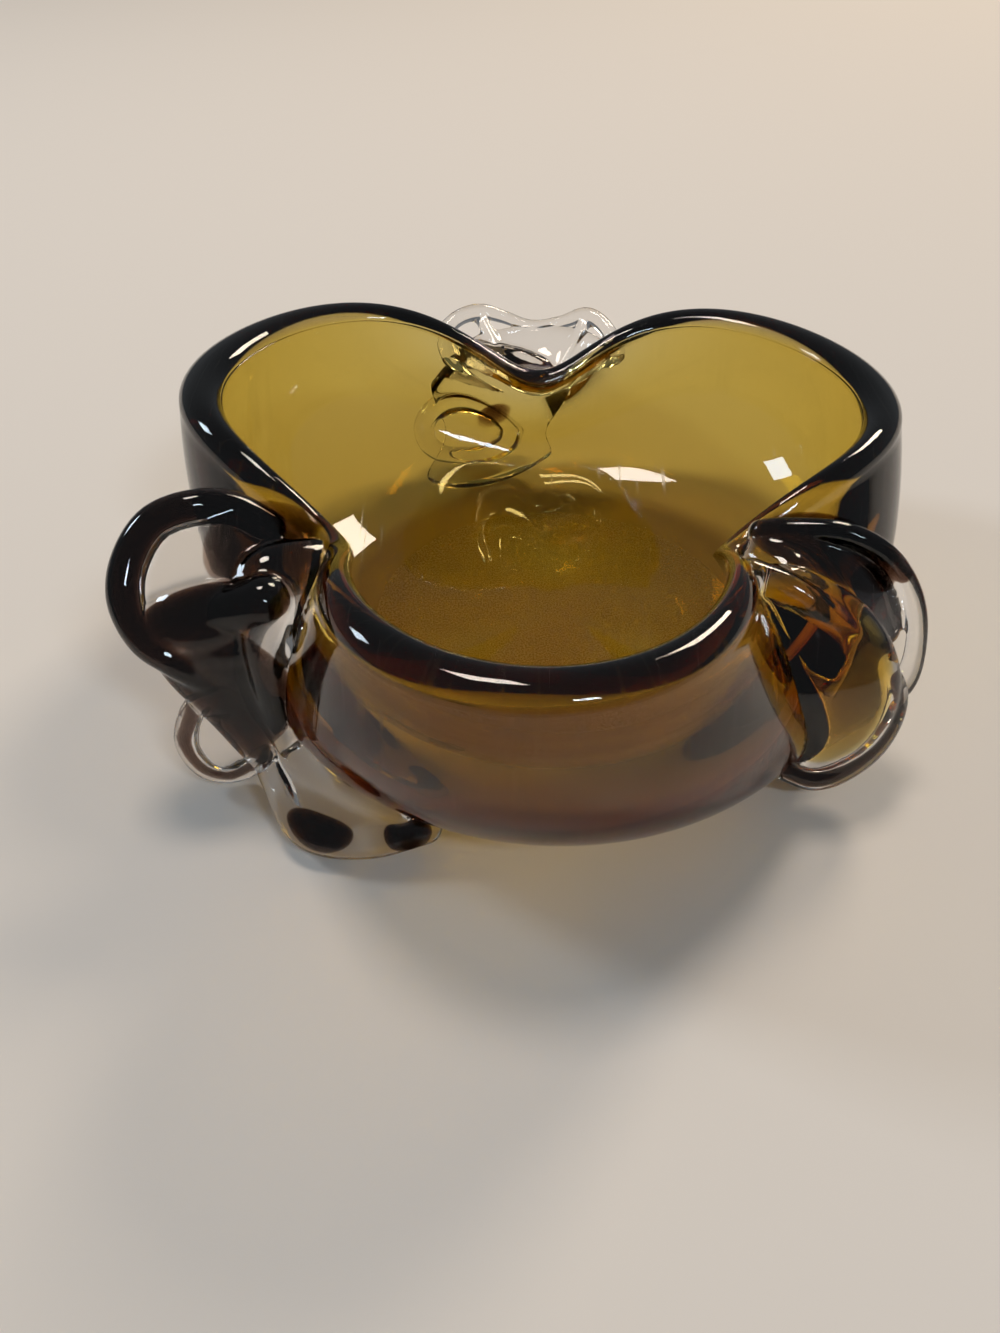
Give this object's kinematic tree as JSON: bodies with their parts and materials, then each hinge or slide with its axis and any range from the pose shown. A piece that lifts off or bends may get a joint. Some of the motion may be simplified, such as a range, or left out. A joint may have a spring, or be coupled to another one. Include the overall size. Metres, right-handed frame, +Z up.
{
  "type": "art glass bowl",
  "caption": "Thick three-lobed glass bowl, amber inside and smoke outside, pinched in at each side, with a fan of clear pulled petals at each pinch.",
  "frame": {"origin": "centre of the flat base that the bowl stands on", "axes": "+Z up out of the base; -Y towards the front lobe, +X towards the right"},
  "size_m": [0.1632, 0.1664, 0.0622],
  "materials": {
    "amber_glass": "gloss",
    "smoke_glass": "gloss",
    "crystal_glass": "gloss",
    "streak_glass": "gloss"
  },
  "bodies": {
    "root": {"amber_lining": "amber_glass", "smoke_casing": "smoke_glass", "left_petals": "crystal_glass", "left_streak": "streak_glass", "right_petals": "crystal_glass", "right_streak": "streak_glass", "rear_petals": "crystal_glass", "rear_streak": "streak_glass"}
  },
  "joints": []
}
